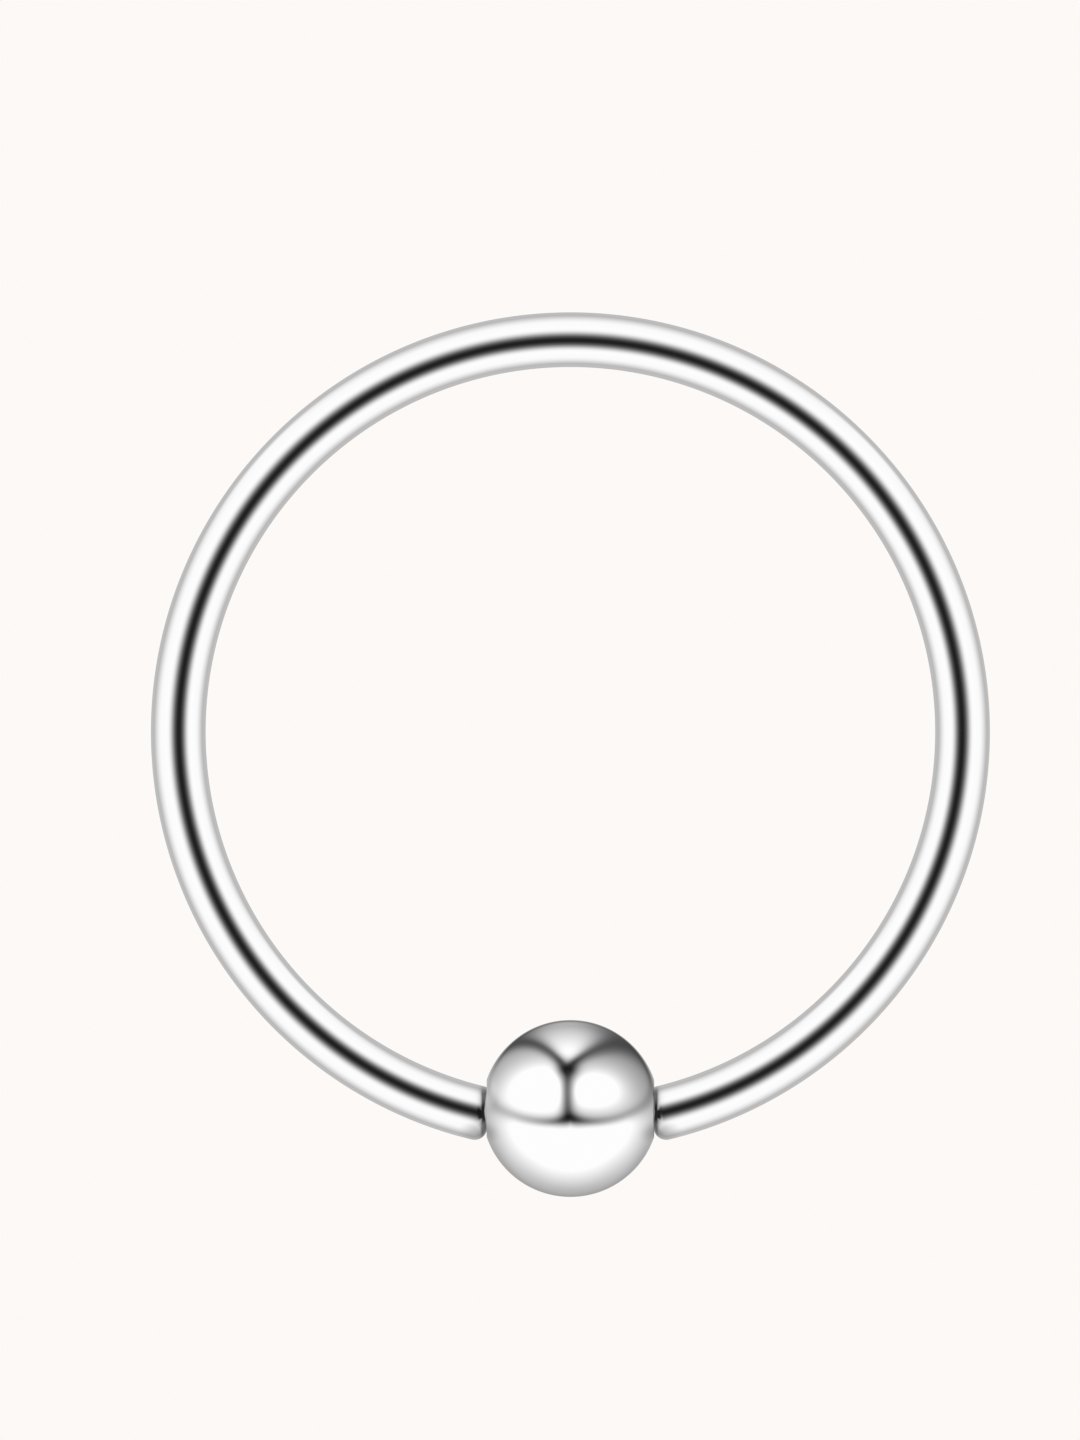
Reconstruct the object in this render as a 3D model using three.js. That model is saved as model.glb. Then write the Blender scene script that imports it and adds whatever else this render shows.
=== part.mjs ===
// Captive bead nose ring in polished silver: a hoop of round wire, open by a short gap, and a round bead
// that the two wire ends hold between them by a dimple on either side.
//
// Millimetres, +Z up. The ring lies on its side on the plane z = 0, resting on the bead and on the wire
// opposite it. The bead is thicker than the wire, so the hoop lies tilted by a few degrees. +Y points from
// the bead across to the far side of the hoop, +X runs along the bead's dimples, and the origin is under
// the middle of the whole ring.
import * as THREE from 'three';

// Wire hoop
const WIRE_DIAMETER = 0.6;
const INNER_DIAMETER = 8; // clear width inside the hoop
const END_ROUNDING = 0.14; // radius that rounds each wire end over to a blunt nose

// Bead and its two dimples
const BEAD_DIAMETER = 1.94;
const SEAT_DEPTH = 0.094; // the middle of each nose stands this far inside the bead's round outline
const BEAD_INSET = 0.049; // the bead's axis runs this far inside the noses, towards the hoop's centre
const DIMPLE_EASE = 0.06; // extra radius of the hollow ball shape of a dimple over the nose it holds
const DIMPLE_RIM = 0.015; // rounding of a dimple's rim
const SEAT_CLEARANCE = 0.02; // least gap between a nose and its dimple

// Fineness of the round surfaces
const WIRE_SIDES = 24;
const HOOP_STEPS = 97; // an odd number puts a short straight on the floor opposite the bead
const NOSE_STEPS = 5;
const BEAD_SEGMENTS = 48;
const HALF_BALL_STEPS = 12;
const DIMPLE_STEPS = 5;
const RIM_STEPS = 3;

const wireRadius = WIRE_DIAMETER / 2;
const hoopRadius = INNER_DIAMETER / 2 + wireRadius; // centre of the hoop to the middle of the wire
const noseRounding = Math.min(END_ROUNDING, wireRadius);
const noseFlat = wireRadius - noseRounding; // radius of the flat left on each nose
const beadRadius = BEAD_DIAMETER / 2;
const dimpleRadius = wireRadius + BEAD_INSET + SEAT_CLEARANCE + DIMPLE_EASE;

// Angles at the hoop's centre, from the middle of the bead to a wire end and to where its nose begins
const endAngle = Math.asin((beadRadius - SEAT_DEPTH) / hoopRadius);
const noseAngle = endAngle + noseRounding / hoopRadius;
const beadDistance = hoopRadius * Math.cos(noseAngle) - BEAD_INSET; // hoop's centre to bead's centre

const silver = new THREE.MeshStandardMaterial({ color: 0xf3f2f0, metalness: 1, roughness: 0.06 });

// Points of an arc, given as distance from the axis and along it. Angles start from the axis direction.
function arc(along, out, radius, from, to, steps) {
  return Array.from({ length: steps + 1 }, (_, i) => {
    const angle = from + ((to - from) * i) / steps;
    return new THREE.Vector2(out + radius * Math.sin(angle), along + radius * Math.cos(angle));
  });
}

// The wire before bending: a straight rod along y with rounded noses, with rings of points to bend at.
function straightWire(length) {
  const noseStart = length / 2 - noseRounding;
  const nose = arc(noseStart, noseFlat, noseRounding, Math.PI / 2, 0, NOSE_STEPS);
  const upper = [...nose, new THREE.Vector2(0, length / 2)];
  const lower = upper.map((p) => new THREE.Vector2(p.x, -p.y)).reverse();
  const side = Array.from({ length: HOOP_STEPS - 1 }, (_, i) =>
    new THREE.Vector2(wireRadius, noseStart * ((2 * (i + 1)) / HOOP_STEPS - 1)),
  );
  return new THREE.LatheGeometry([...lower, ...side, ...upper], WIRE_SIDES);
}

// Bends a rod that lies along y round the z axis, with its middle at the far side of the hoop, on +y.
function bend(rod) {
  const place = rod.getAttribute('position');
  for (let i = 0; i < place.count; i += 1) {
    const fromCentre = hoopRadius + place.getX(i);
    const angle = place.getY(i) / hoopRadius;
    place.setXYZ(i, fromCentre * Math.sin(angle), fromCentre * Math.cos(angle), -place.getZ(i));
  }
  return rod;
}

function hoop() {
  const length = 2 * hoopRadius * (Math.PI - endAngle);
  const mesh = new THREE.Mesh(bend(straightWire(length)), silver);
  mesh.name = 'wire_hoop';
  return mesh;
}

// Where the hollow ball shape of a dimple is centred on the bead's axis: as far in as lets the rounded
// edge of the nose clear it on the inside of the hoop, at the sides and on the outside.
function dimpleCentre() {
  const reach = dimpleRadius - SEAT_CLEARANCE - noseRounding;
  const noseEdges = [
    { outward: -noseFlat, sideways: 0 },
    { outward: 0, sideways: noseFlat },
    { outward: noseFlat, sideways: 0 },
  ];
  return Math.min(...noseEdges.map(({ outward, sideways }) => {
    const fromCentre = hoopRadius + outward;
    const offAxis = Math.hypot(fromCentre * Math.cos(noseAngle) - beadDistance, sideways);
    return fromCentre * Math.sin(noseAngle) + Math.sqrt(reach ** 2 - offAxis ** 2);
  }));
}

// A ball turned about the x axis, with a dimple at each end of that axis.
function bead() {
  const centre = dimpleCentre();
  const ballToRim = beadRadius - DIMPLE_RIM;
  const dimpleToRim = dimpleRadius + DIMPLE_RIM;
  const rimAlong = (ballToRim ** 2 - dimpleToRim ** 2 + centre ** 2) / (2 * centre);
  const rimOut = Math.sqrt(ballToRim ** 2 - rimAlong ** 2);
  const seenFromBall = Math.atan2(rimOut, rimAlong);
  const seenFromDimple = Math.atan2(rimOut, rimAlong - centre);

  const ball = arc(0, 0, beadRadius, Math.PI / 2, seenFromBall, HALF_BALL_STEPS);
  const rim = arc(rimAlong, rimOut, DIMPLE_RIM, seenFromBall, seenFromDimple - Math.PI, RIM_STEPS);
  const dimple = arc(centre, 0, dimpleRadius, seenFromDimple, Math.PI, DIMPLE_STEPS);
  const half = [...ball, ...rim.slice(1), ...dimple.slice(1)];
  const otherHalf = half.slice(1).map((p) => new THREE.Vector2(p.x, -p.y)).reverse();

  const turned = new THREE.LatheGeometry([...otherHalf, ...half], BEAD_SEGMENTS);
  const mesh = new THREE.Mesh(turned.rotateZ(-Math.PI / 2), silver);
  mesh.name = 'captive_bead';
  mesh.position.y = -beadDistance;
  return mesh;
}

// The tilt at which the bead and the wire opposite it both touch the floor
const tilt = Math.asin((beadRadius - wireRadius) / (beadDistance + hoopRadius));
const farEdge = hoopRadius * Math.cos(tilt) + wireRadius;
const nearEdge = -beadDistance * Math.cos(tilt) - beadRadius;

const ring = new THREE.Group();
ring.add(hoop(), bead());
ring.rotation.x = -tilt;
ring.position.set(0, -(farEdge + nearEdge) / 2, beadRadius - beadDistance * Math.sin(tilt));

export default ring;
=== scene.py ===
"""A captive bead nose ring in polished silver, lying on its side on a pale floor.

Metres, +Z up. The ring rests on its bead, towards -Y, and on the wire opposite, so the hoop lies slightly
tilted.
"""

from math import asin, atan2, cos, pi, sin, sqrt

import bmesh
import bpy
from mathutils import Matrix, Vector


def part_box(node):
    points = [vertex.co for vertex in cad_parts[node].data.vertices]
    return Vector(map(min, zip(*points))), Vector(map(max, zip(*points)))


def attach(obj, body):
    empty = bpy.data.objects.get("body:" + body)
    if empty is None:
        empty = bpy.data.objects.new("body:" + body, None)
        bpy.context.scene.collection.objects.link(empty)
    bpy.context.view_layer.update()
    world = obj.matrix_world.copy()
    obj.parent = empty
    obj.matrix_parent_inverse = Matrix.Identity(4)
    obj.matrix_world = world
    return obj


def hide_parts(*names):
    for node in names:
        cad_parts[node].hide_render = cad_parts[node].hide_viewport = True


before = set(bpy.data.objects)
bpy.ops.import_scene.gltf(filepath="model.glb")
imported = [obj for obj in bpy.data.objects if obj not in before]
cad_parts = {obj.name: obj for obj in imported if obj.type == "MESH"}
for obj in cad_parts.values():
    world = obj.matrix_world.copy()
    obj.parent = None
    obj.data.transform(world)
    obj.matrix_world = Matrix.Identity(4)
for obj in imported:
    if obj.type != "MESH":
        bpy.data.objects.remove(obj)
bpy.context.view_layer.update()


# Wire hoop
# Round silver wire, drawn to gauge and bent round a mandrel into a circle that is left open by a short gap.
# Both ends are rounded over to blunt noses, which stand in the bead's dimples.
MM = 0.001
WIRE_RADIUS = 0.3 * MM
HOOP_RADIUS = 4.3 * MM  # centre of the hoop to the middle of the wire
END_ROUNDING = 0.14 * MM
LAST_STRAIGHT = 0.15 * MM  # the bit at each end that the mandrel doesn't bend
BEAD_RADIUS = 0.97 * MM
SEAT_DEPTH = 0.094 * MM  # the middle of a nose stands this far inside the bead's round outline
BEAD_DISTANCE = 4.13008 * MM  # centre of the hoop to the bead's centre
WIRE_SIDES = 96
NOSE_STEPS = 16
BEND_STEPS = 300
JOIN = 1e-4 * MM  # points closer than this are one

# The bead and the wire opposite it both touch the floor, which sets the hoop's tilt.
tilt = asin((BEAD_RADIUS - WIRE_RADIUS) / (BEAD_DISTANCE + HOOP_RADIUS))
bead_low, bead_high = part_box("captive_bead")
lie = (
    Matrix.Translation((bead_low + bead_high) / 2)
    @ Matrix.Rotation(-tilt, 4, "X")
    @ Matrix.Translation((0, BEAD_DISTANCE, 0))
)


def stand(bm, name):
    """Makes an object of a mesh and puts it in the scene."""
    mesh = bpy.data.meshes.new(name)
    bm.to_mesh(mesh)
    bm.free()
    thing = bpy.data.objects.new(name, mesh)
    bpy.context.scene.collection.objects.link(thing)
    return thing


def finished(bm, name, place):
    """Turns a mesh to its place on the floor and makes it a smooth, closed piece."""
    bmesh.ops.remove_doubles(bm, verts=bm.verts[:], dist=JOIN)
    bmesh.ops.recalc_face_normals(bm, faces=bm.faces[:])
    bmesh.ops.transform(bm, matrix=place, verts=bm.verts[:])
    for face in bm.faces:
        face.smooth = True
    return stand(bm, name)


end_angle = asin((BEAD_RADIUS - SEAT_DEPTH) / HOOP_RADIUS)
bend_angle = end_angle + LAST_STRAIGHT / HOOP_RADIUS

bm = bmesh.new()
at_bend = Matrix.Rotation(bend_angle, 4, "Z") @ Matrix.Translation((0, -HOOP_RADIUS, 0))
bmesh.ops.create_circle(
    bm, segments=WIRE_SIDES, radius=WIRE_RADIUS, matrix=at_bend @ Matrix.Rotation(pi / 2, 4, "Y")
)
stub = bmesh.ops.extrude_edge_only(bm, edges=bm.edges[:])["geom"]
bmesh.ops.translate(
    bm, vec=Vector((-cos(bend_angle), -sin(bend_angle), 0)) * LAST_STRAIGHT,
    verts=[part for part in stub if isinstance(part, bmesh.types.BMVert)],
)
nose = [part for part in stub if isinstance(part, bmesh.types.BMEdge) and part.is_boundary]
bmesh.ops.edgeloop_fill(bm, edges=nose)
bmesh.ops.bevel(
    bm, geom=nose, offset=END_ROUNDING, offset_type="OFFSET", affect="EDGES", segments=NOSE_STEPS,
    profile=0.5, material=-1, clamp_overlap=False,
)
open_end = [edge for edge in bm.edges if edge.is_boundary]
bmesh.ops.spin(
    bm, geom=open_end + list({vert for edge in open_end for vert in edge.verts}), cent=(0, 0, 0),
    axis=(0, 0, 1), angle=pi - bend_angle, steps=BEND_STEPS, use_duplicate=False, use_merge=False,
)
bmesh.ops.mirror(bm, geom=bm.verts[:] + bm.edges[:] + bm.faces[:], axis="X", merge_dist=JOIN)
hoop = finished(bm, "wire_hoop_polished", lie)


class Shade:
    """A number that the nodes of a material work out for each place."""

    def __init__(self, tree, socket):
        self.tree = tree
        self.socket = socket

    def do(self, operation, *values):
        """Works out a further number with one node, from this number and others."""
        node = self.tree.nodes.new("ShaderNodeMath")
        node.operation = operation
        for value, socket in zip((self, *values), node.inputs):
            if isinstance(value, Shade):
                self.tree.links.new(value.socket, socket)
            else:
                socket.default_value = value
        return Shade(self.tree, node.outputs[0])

    def __add__(self, other):
        return self.do("ADD", other)

    def __sub__(self, other):
        return self.do("SUBTRACT", other)

    def __mul__(self, other):
        return self.do("MULTIPLY", other)

    def __truediv__(self, other):
        return self.do("DIVIDE", other)

    def at_least(self, least):
        return self.do("MAXIMUM", least)

    def at_most(self, most):
        return self.do("MINIMUM", most)

    def rest(self):
        """What is left of 1."""
        return self * -1 + 1

    def smooth(self, low, high, start=0, end=1):
        """Passes smoothly from start to end while this number rises from low to high."""
        node = self.tree.nodes.new("ShaderNodeMapRange")
        node.interpolation_type = "SMOOTHSTEP"
        self.tree.links.new(self.socket, node.inputs["Value"])
        for name, limit in (("From Min", low), ("From Max", high), ("To Min", start), ("To Max", end)):
            node.inputs[name].default_value = limit
        return Shade(self.tree, node.outputs["Result"])

    def bell(self, width):
        """Falls off from 1 on both sides of 0."""
        scaled = self / width
        return (scaled * scaled * -1).do("EXPONENT")

    def diagonal(self, other):
        """How far apart two places are that lie this far and that far off square to each other."""
        return (self * self + other * other).do("SQRT")


# The silver is buffed to a mirror with a few faint swirls. The wheel can't reach into the seats of the
# noses, where it is left rougher. The seats are painted nearly black, as painted shade for the gap between
# wire and bead.
BRIGHT_SILVER = (0.955, 0.955, 0.955, 1)
PAINTED_SHADE_SILVER = (0.02, 0.02, 0.02, 1)
LEAST_BUFFED = 0.05
MOST_BUFFED = 0.02
SEAT_ROUGHNESS = 0.4
silver = bpy.data.materials.new("polished_silver")
silver.use_nodes = True
tree = silver.node_tree
shader = tree.nodes["Principled BSDF"]
shader.inputs["Metallic"].default_value = 1
place = tree.nodes.new("ShaderNodeTexCoord")
from_bead = tree.nodes.new("ShaderNodeVectorMath")
from_bead.operation = "SUBTRACT"
from_bead.inputs[1].default_value = (bead_low + bead_high) / 2
tree.links.new(place.outputs["Object"], from_bead.inputs[0])
split = tree.nodes.new("ShaderNodeSeparateXYZ")
tree.links.new(from_bead.outputs[0], split.inputs[0])


def noise(waves, detail):
    """Noise in the silver, with so many waves to a metre."""
    node = tree.nodes.new("ShaderNodeTexNoise")
    node.inputs["Scale"].default_value = waves
    node.inputs["Detail"].default_value = detail
    tree.links.new(place.outputs["Object"], node.inputs["Vector"])
    return Shade(tree, node.outputs["Fac"])


# From here to the roughness, lengths are millimetres from the middle of the bead. Both seats are dealt with
# at once, by the distance along the line through the dimples. A little noise lets the painted shade's edge
# wander.
x, y, z = (Shade(tree, socket) / MM for socket in split.outputs)
blotch = noise(9000, 3) * 0.02
along = (x + 0.01).do("ABSOLUTE") + blotch
off_axis = y.diagonal(z) + blotch
around_bead = along.diagonal(y)
off_dark_line = (y + 0.038).do("ABSOLUTE")

# Painted shade fills the dimples and goes on beyond the bead, darkening the gap between wire and bead. It
# reaches further along the wire on the outside of the hoop, is strongest halfway across the wire, and is
# lightened by almost half at the bead's own edge.
in_dimple = off_axis.smooth(0.31, 0.325, 1, 0) * along.smooth(0.6, 0.7)
beyond_bead = along.smooth(0.92, 0.93)
reach = y.smooth(-0.1, 0.02, 0.047, 0.024)
fading = ((along - 0.968).at_least(0) / reach * -1).do("EXPONENT")
strength = y.smooth(0.17, 0.29, 1, 0) * y.smooth(-0.16, -0.08, 0.9, 1)
strength = strength * off_dark_line.smooth(0.06, 0.2, 1, 0.87)
lighter_at_bead_edge = around_bead.smooth(0.912, 0.918) * around_bead.smooth(0.932, 0.946, 0.45, 0)
painted_gap_shade = in_dimple.at_least(beyond_bead) * fading * strength * lighter_at_bead_edge.rest()

# A painted reflection, a darker streak carrying on the wire's dark middle line, runs a little way up the
# middle of the wire, and painted shade and reflection darken each nose's outer corner and the bead beside
# it.
painted_reflection_streak = (off_dark_line.bell(0.08) * 1.25).at_most(1)
painted_reflection_streak = painted_reflection_streak * around_bead.smooth(0.934, 0.948) * along.smooth(1, 1.04, 1, 0)
in_seat = painted_gap_shade.at_least(painted_reflection_streak)
corner = ((along - 1) / 0.27).diagonal((y + 0.235) / 0.16)
painted_shade_and_reflection = in_seat.at_least(corner.smooth(0, 1, 0.5, 0))

# The base colour passes from bright silver to the near-black painted shade.
tint = tree.nodes.new("ShaderNodeMix")
tint.data_type = "RGBA"
tint.inputs["A"].default_value = BRIGHT_SILVER
tint.inputs["B"].default_value = PAINTED_SHADE_SILVER
tree.links.new(painted_shade_and_reflection.socket, tint.inputs["Factor"])
tree.links.new(tint.outputs["Result"], shader.inputs["Base Color"])
swirls = noise(2500, 4).smooth(0.3, 0.7, MOST_BUFFED, LEAST_BUFFED)
roughness = swirls + in_seat.smooth(0.85, 1, 0, SEAT_ROUGHNESS)
tree.links.new(roughness.socket, shader.inputs["Roughness"])
hoop.data.materials.append(silver)
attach(hoop, "hoop")
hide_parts("wire_hoop")


# Bead
# A small silver ball with a dimple ground into either side, held between the wire's noses by the spring
# of the hoop. It can turn about the line through its dimples.
DIMPLE_RADIUS = 0.429 * MM
DIMPLE_CENTRE = 1.22192 * MM  # middle of the bead to the middle of the hollow ball that a dimple is part of
DIMPLE_RIM = 0.015 * MM  # rounding of a dimple's rim
BALL_STEPS = 96
RIM_STEPS = 12
DIMPLE_STEPS = 24
TURNING_STEPS = 192


def arc(bm, start, centre, angle, steps):
    """Draws an arc from a vertex about a centre in the XY plane, and returns its other end."""
    end = bmesh.ops.spin(
        bm, geom=[start], cent=centre, axis=(0, 0, 1), angle=angle, steps=steps, use_duplicate=False
    )["geom_last"]
    return next(part for part in end if isinstance(part, bmesh.types.BMVert))


ball_to_rim = BEAD_RADIUS - DIMPLE_RIM
rim_x = (ball_to_rim**2 - (DIMPLE_RADIUS + DIMPLE_RIM) ** 2 + DIMPLE_CENTRE**2) / (2 * DIMPLE_CENTRE)
rim_y = sqrt(ball_to_rim**2 - rim_x**2)
from_ball = atan2(rim_y, rim_x)
from_dimple = atan2(rim_y, rim_x - DIMPLE_CENTRE)

bm = bmesh.new()
middle = bm.verts.new((0, BEAD_RADIUS, 0))
shoulder = arc(bm, middle, (0, 0, 0), from_ball - pi / 2, BALL_STEPS)
lip = arc(bm, shoulder, (rim_x, rim_y, 0), from_dimple - pi - from_ball, RIM_STEPS)
arc(bm, lip, (DIMPLE_CENTRE, 0, 0), pi - from_dimple, DIMPLE_STEPS)
bmesh.ops.spin(
    bm, geom=bm.verts[:] + bm.edges[:], cent=(0, 0, 0), axis=(1, 0, 0), angle=2 * pi, steps=TURNING_STEPS,
    use_duplicate=False, use_merge=True,
)
bmesh.ops.mirror(bm, geom=bm.verts[:] + bm.edges[:] + bm.faces[:], axis="X", merge_dist=JOIN)
bead = finished(bm, "captive_bead_polished", lie @ Matrix.Translation((0, -BEAD_DISTANCE, 0)))
bead.data.materials.append(silver)
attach(bead, "bead")
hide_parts("captive_bead")


# Floor
# A plain pale sheet. It glows evenly like a light table, so no shadow falls on it.
PALE = (0.982, 0.947, 0.922, 1)
FLOOR_RADIUS = 0.6
bm = bmesh.new()
bmesh.ops.create_circle(bm, cap_ends=True, segments=64, radius=FLOOR_RADIUS)
floor = stand(bm, "floor")
paper = bpy.data.materials.new("pale_paper")
paper.use_nodes = True
paper.node_tree.nodes.clear()
glow = paper.node_tree.nodes.new("ShaderNodeEmission")
glow.inputs["Color"].default_value = PALE
surface = paper.node_tree.nodes.new("ShaderNodeOutputMaterial")
paper.node_tree.links.new(glow.outputs[0], surface.inputs["Surface"])
floor.data.materials.append(paper)

# The floor, the hoop and the bead aren't mirrored in each other.
for piece in (floor, hoop, bead):
    piece.visible_glossy = False

world = bpy.data.worlds.new("studio")
world.use_nodes = True
world.node_tree.nodes["Background"].inputs["Color"].default_value = PALE
bpy.context.scene.world = world


# Light tents
# Two huge white tents stand round the ring, one for the light on the wire and one for the light on the bead.
# The camera looks in through a round dark opening in the wire's tent. The bead's tent is sewn from four
# panels.
BRIGHTEST = 1.03
WIRE_TENT_RADIUS = 0.1
BEAD_TENT_RADIUS = 1


def tent(name, radius, lit):
    """Makes a tent that lights one piece alone. Returns how far its cloth lies across, up and out."""
    bm = bmesh.new()
    bmesh.ops.create_icosphere(bm, subdivisions=4, radius=radius)
    dome = stand(bm, name)
    dome.rotation_euler = (-tilt, 0, 0)
    dome.visible_camera = False
    group = bpy.data.collections.new(name + "_lights")
    group.objects.link(lit)
    dome.light_linking.receiver_collection = group
    cloth = bpy.data.materials.new(name + "_cloth")
    cloth.use_nodes = True
    cloth.cycles.emission_sampling = "NONE"
    tree = cloth.node_tree
    tree.nodes.clear()
    dome.data.materials.append(cloth)
    place = tree.nodes.new("ShaderNodeTexCoord")
    unit = tree.nodes.new("ShaderNodeVectorMath")
    unit.operation = "NORMALIZE"
    split = tree.nodes.new("ShaderNodeSeparateXYZ")
    tree.links.new(place.outputs["Object"], unit.inputs[0])
    tree.links.new(unit.outputs["Vector"], split.inputs[0])
    return [Shade(tree, socket) for socket in split.outputs]


def hang(brightness, sheer=False):
    """Gives a tent's cloth its glow. Sheer cloth lets the tent behind it shine through."""
    brightness = brightness.at_most(BRIGHTEST)
    tree = brightness.tree
    glow = tree.nodes.new("ShaderNodeEmission")
    surface = tree.nodes.new("ShaderNodeOutputMaterial")
    tree.links.new(brightness.socket, glow.inputs["Strength"])
    tree.links.new(glow.outputs[0], surface.inputs["Surface"])
    if sheer:
        clear = tree.nodes.new("ShaderNodeBsdfTransparent")
        both = tree.nodes.new("ShaderNodeAddShader")
        tree.links.new(glow.outputs[0], both.inputs[0])
        tree.links.new(clear.outputs[0], both.inputs[1])
        tree.links.new(both.outputs[0], surface.inputs["Surface"])


def toward(direction):
    """How far each place on the cloth lies in one direction."""
    x, y, z = direction
    return across * x + up * y + out * z


# Brightness of the wire's tent by the angle from its opening, in degrees. It falls off behind the floor.
OPENING = (
    (0, 0.012), (8.3, 0.028), (16.7, 0.109), (25.1, 0.34), (33.7, 0.7), (42.5, 0.975), (51.5, 1.03),
    (80, 1), (93, 0.87), (106, 0.69), (121, 0.5), (141, 0.53), (180, 0.5),
)
LAMPS = ((0.713, 0.665, -0.225), (-0.713, 0.665, -0.225))
LAMP_TIGHTNESS = 35
LAMP_GLOW = 0.27
across, up, out = tent("wire_tent", WIRE_TENT_RADIUS, hoop)
angle = out.at_most(1).at_least(-1).do("ARCCOSINE") / pi
ramp = angle.tree.nodes.new("ShaderNodeValToRGB")
stops = ramp.color_ramp.elements
for _ in OPENING[2:]:
    stops.new(1)
for stop, (degrees_off, brightness) in zip(stops, OPENING):
    stop.position = degrees_off / 180
    stop.color = (brightness, brightness, brightness, 1)
angle.tree.links.new(angle.socket, ramp.inputs[0])
cloth = Shade(angle.tree, ramp.outputs["Color"])
for lamp in LAMPS:
    cloth = cloth * (((toward(lamp) - 1) * LAMP_TIGHTNESS).do("EXPONENT") * LAMP_GLOW + 1)
hang(cloth, sheer=True)

SOFT_EDGE = 0.08  # half the width over which one panel passes into the next
across, up, out = tent("bead_tent", BEAD_TENT_RADIUS, bead)


def panel(middle, wide, high, power, least):
    """The glow of a wall panel, brightest in its middle."""
    middle = Vector(middle).normalized()
    side = Vector((0, 1, 0)).cross(middle).normalized()
    x, y = toward(side) / wide, toward(middle.cross(side)) / high
    spread = (x * x + y * y) / (toward(middle) * 0.5 + 0.5).at_least(0.02)
    return (spread.do("POWER", power / 2) + 1).do("POWER", -1) * (1 - least) + least


# Where each panel lies. Back rises from 0 on the camera's side to 1 on the far side.
back = out.rest() * 0.5
corner = toward((1, 0.03, 0.071))
below = toward((0, -1, -0.265)) - across.do("ABSOLUTE") * 0.308 + across * across * 0.182 + 0.036
over_left = toward((0.583, 0.772, 0.162)) + back * back * 0.87 - 0.726
over_right = toward((-0.421, 0.229, -0.4)) - back * back * 0.374 + 0.035
on_right = corner.smooth(-SOFT_EDGE, SOFT_EDGE)
in_top = over_left.at_most(over_right).smooth(-SOFT_EDGE, SOFT_EDGE)
in_bottom = below.smooth(-SOFT_EDGE, SOFT_EDGE)

# The left and right wall panels glow in their middle. The top and bottom panels get darker towards the back.
left = panel((-0.4, 0.358, 0.652), 1.058, 0.544, 2.51, 0.077)
right = panel((0.398, 0.334, 0.659), 0.693, 0.416, 2.19, 0.056)
walls = (left * on_right.rest() + right * on_right) * 1.76
fallen = (out * 0.779 + 1.073).at_least(0.25).at_most(1.2)
fallen_low = fallen - up.smooth(-0.85, -0.5).rest() * 0.06
cells = (walls * in_top.rest() + fallen * in_top * 0.93) * in_bottom.rest() + fallen_low * in_bottom

# Dark seams between the panels, darkest where they meet.
height = (up * 0.847 + 0.28).at_least(0).at_most(1) * 2 - 1
stem_depth = height.do("POWER", 4) * 0.146 + 0.854
stem = corner.bell(back * 0.106 + 0.175) * stem_depth * in_top.rest() * in_bottom.rest()
sill = below.bell(0.112) * (across.bell(0.686) * 0.441 + 0.357)
left_arm = over_left.bell(back * 0.075 + 0.065) * over_right.smooth(-0.16, 0.16) * in_bottom.rest() * 0.838
right_arm = over_right.bell(back * 0.105 + 0.031) * over_left.smooth(-0.16, 0.16) * in_bottom.rest() * 0.841
joint_middle = Vector((-0.058, 0.813, 0.579)).normalized()
joint = (toward(joint_middle).rest() * 2).do("SQRT").bell(0.211) * 0.919
foot = across.bell(0.288) * below.bell(0.172) * out.smooth(-0.3, 0.3) * 0.805
for seam in (stem, sill, left_arm, right_arm, joint, foot):
    cells = cells * seam.rest()

# Light that leaks in round the back shows along the bead's edge.
leak = back.do("POWER", 5) * (up.bell(0.18) * 0.13 + 0.035)
leak_left = back.smooth(0.68, 0.88) * (across * -1).smooth(0.15, 0.45) * 0.2
leak_left = leak_left * up.smooth(-0.04, 0.08) * up.smooth(0.15, 0.3).rest()
leak_top = back.smooth(0.85, 0.96) * across.bell(0.15) * up.smooth(0, 0.3) * 0.12
hang(cells + leak + leak_left + leak_top)


# Camera
# It looks straight down on the ring's plane, from far off, as the photograph does.
DISTANCE = 400 * MM
VIEW_HEIGHT = 15.79 * MM  # what the frame's long side takes in at the ring's plane
FRAME_MIDDLE = (-0.3335 * MM, 0.1297 * MM)  # where it looks, from the centre of the hoop
SENSOR = 36
camera = bpy.data.objects.new("camera", bpy.data.cameras.new("camera"))
bpy.context.scene.collection.objects.link(camera)
camera.data.sensor_width = SENSOR
camera.data.lens = SENSOR * DISTANCE / VIEW_HEIGHT
camera.matrix_world = lie @ Matrix.Translation((*FRAME_MIDDLE, DISTANCE))
camera.data.clip_start = 0.01
camera.data.clip_end = 10
bpy.context.scene.camera = camera
bpy.context.scene.view_settings.view_transform = "Standard"
